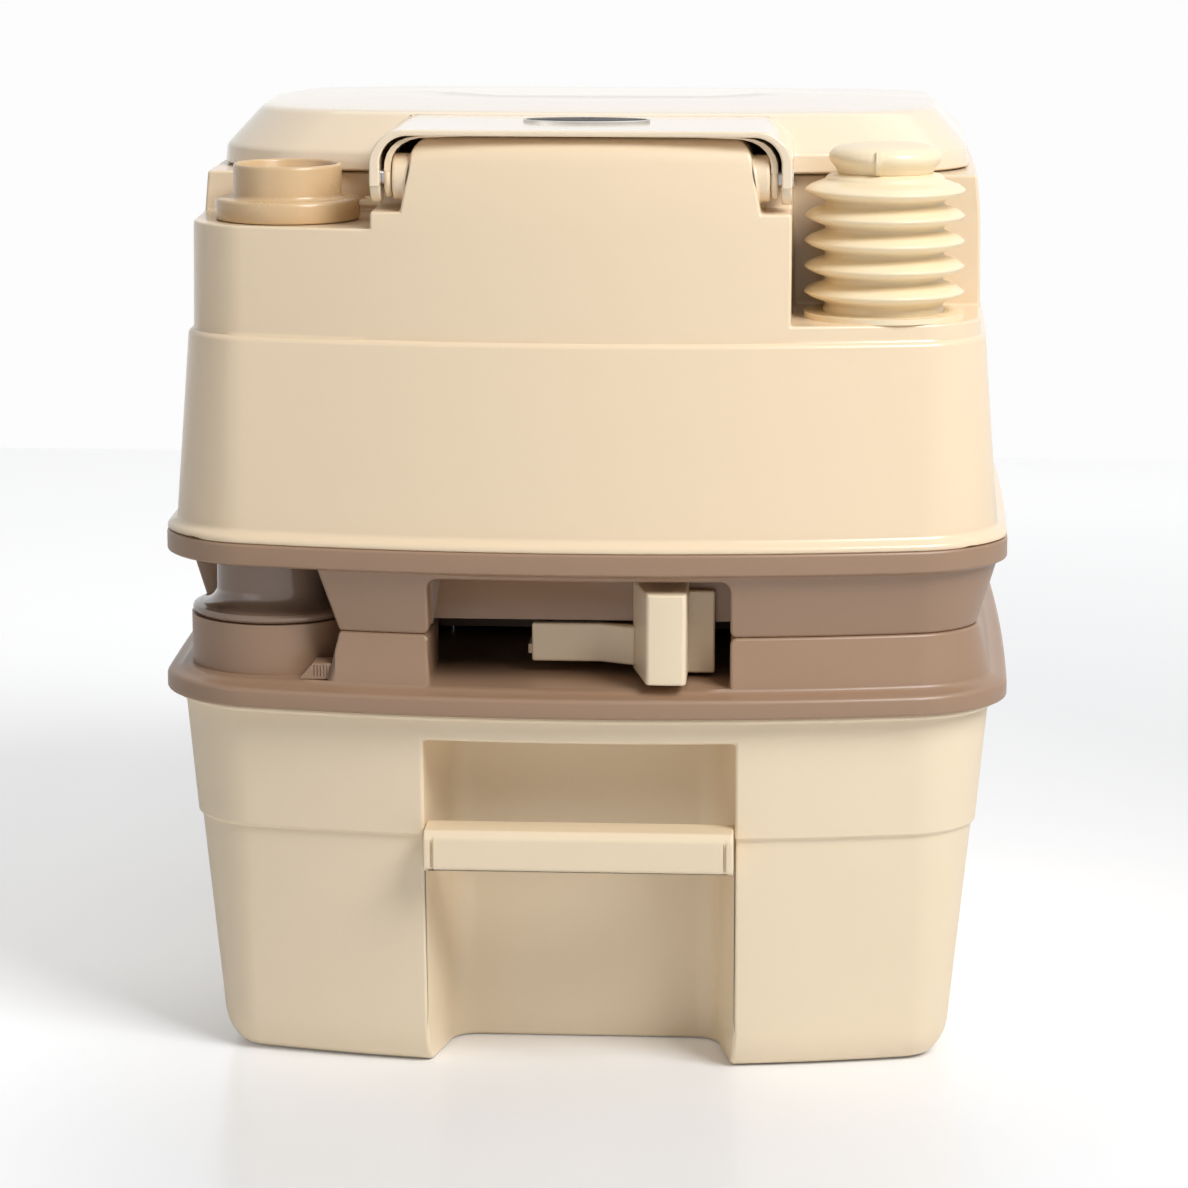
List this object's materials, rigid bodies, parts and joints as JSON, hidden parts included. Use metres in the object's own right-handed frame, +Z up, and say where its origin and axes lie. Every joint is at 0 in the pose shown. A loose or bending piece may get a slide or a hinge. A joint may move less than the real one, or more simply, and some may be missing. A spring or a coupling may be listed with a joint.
{
  "type": "portable toilet",
  "caption": "Two-section portable toilet: waste tank with slide valve and pour-out spout, flush tank with bellows pump, filling cap, seat and domed lid.",
  "frame": {"origin": "floor level, middle of the footprint", "axes": "+Z up, -Y towards the service side with hinge, pump and valve handle, X across"},
  "size_m": [0.376, 0.422, 0.4166],
  "materials": {
    "tank_cream": "smooth moulded",
    "shell_cream": "satin gloss moulded",
    "frame_brown": "fine matt grain",
    "spout_brown": "gloss moulded",
    "pump_cream": "soft satin",
    "seal_rubber": "matt",
    "steel": "bright",
    "badge_dark": "gloss with a bright edge"
  },
  "bodies": {
    "waste_tank_section": {"waste_tank": "tank_cream", "waste_tank_cover": "frame_brown", "carry_handle": "tank_cream", "valve_housing": "frame_brown", "housing_screws": "steel", "lip_seal": "seal_rubber", "lower_seal": "seal_rubber", "spout_collar": "frame_brown", "latch_spring": "steel"},
    "flush_tank_section": {"upper_base": "frame_brown", "flush_tank": "shell_cream", "hinge_pins": "steel", "bowl": "shell_cream", "bowl_gasket": "seal_rubber", "pump_base": "pump_cream", "suction_flap": "seal_rubber", "delivery_flap": "seal_rubber", "intake_tube": "tank_cream", "flush_hose": "seal_rubber", "flush_nozzle": "tank_cream", "bellows": "pump_cream", "cap_tether": "pump_cream"},
    "valve_slider": {"valve_blade": "tank_cream", "valve_handle": "shell_cream", "handle_screws": "steel"},
    "latch": {"release_latch": "frame_brown"},
    "spout": {"pour_spout": "spout_brown", "spout_seal": "seal_rubber"},
    "spout_cap_ring": {"spout_cap_seal": "seal_rubber"},
    "spout_cap": {"spout_cap": "spout_brown"},
    "pump": {"pump_knob": "pump_cream"},
    "fill_cap_ring": {"fill_cap_seal": "seal_rubber"},
    "fill_cap": {"fill_cap": "pump_cream"},
    "seat": {"seat": "shell_cream", "seat_bumpers": "seal_rubber"},
    "lid": {"lid": "shell_cream", "lid_bumpers": "seal_rubber", "lid_badge": "badge_dark"}
  },
  "joints": [
    {"name": "section_lift", "type": "slide", "parent": "waste_tank_section", "child": "flush_tank_section", "axis": [0, 0, 1], "range_m": [0, 0.12]},
    {"name": "valve_slide", "type": "slide", "parent": "waste_tank_section", "child": "valve_slider", "axis": [0, -1, 0], "range_m": [0, 0.1]},
    {"name": "latch_push", "type": "slide", "parent": "waste_tank_section", "child": "latch", "axis": [1, 0, 0], "range_m": [0, 0.005], "stiffness_N_per_m": 600, "deforming": ["latch_spring"]},
    {"name": "spout_turn", "type": "hinge", "parent": "waste_tank_section", "child": "spout", "pos_m": [-0.1375, -0.1465, 0.198], "axis": [0, 0, 1], "range_deg": [-60, 0]},
    {"name": "spout_cap_pull", "type": "slide", "parent": "spout", "child": "spout_cap_ring", "axis": [0, 1, 0], "range_m": [0, 0.02]},
    {"name": "spout_cap_turn", "type": "hinge", "parent": "spout_cap_ring", "child": "spout_cap", "pos_m": [-0.1375, -0.0785, 0.2305], "axis": [0, 1, 0], "range_deg": [0, 120]},
    {"name": "pump_press", "type": "slide", "parent": "flush_tank_section", "child": "pump", "axis": [0, 0, -1], "range_m": [0, 0.035], "stiffness_N_per_m": 300, "deforming": ["bellows"]},
    {"name": "fill_cap_lift", "type": "slide", "parent": "flush_tank_section", "child": "fill_cap_ring", "axis": [0, 0, 1], "range_m": [0, 0.03]},
    {"name": "fill_cap_turn", "type": "hinge", "parent": "fill_cap_ring", "child": "fill_cap", "pos_m": [-0.13, -0.146, 0.3795], "axis": [0, 0, 1], "range_deg": [0, 120]},
    {"name": "seat_hinge", "type": "hinge", "parent": "flush_tank_section", "child": "seat", "pos_m": [0, -0.178, 0.393], "axis": [1, 0, 0], "range_deg": [0, 92]},
    {"name": "lid_hinge", "type": "hinge", "parent": "seat", "child": "lid", "pos_m": [0, -0.178, 0.393], "axis": [-1, 0, 0], "range_deg": [-92, 0]}
  ]
}
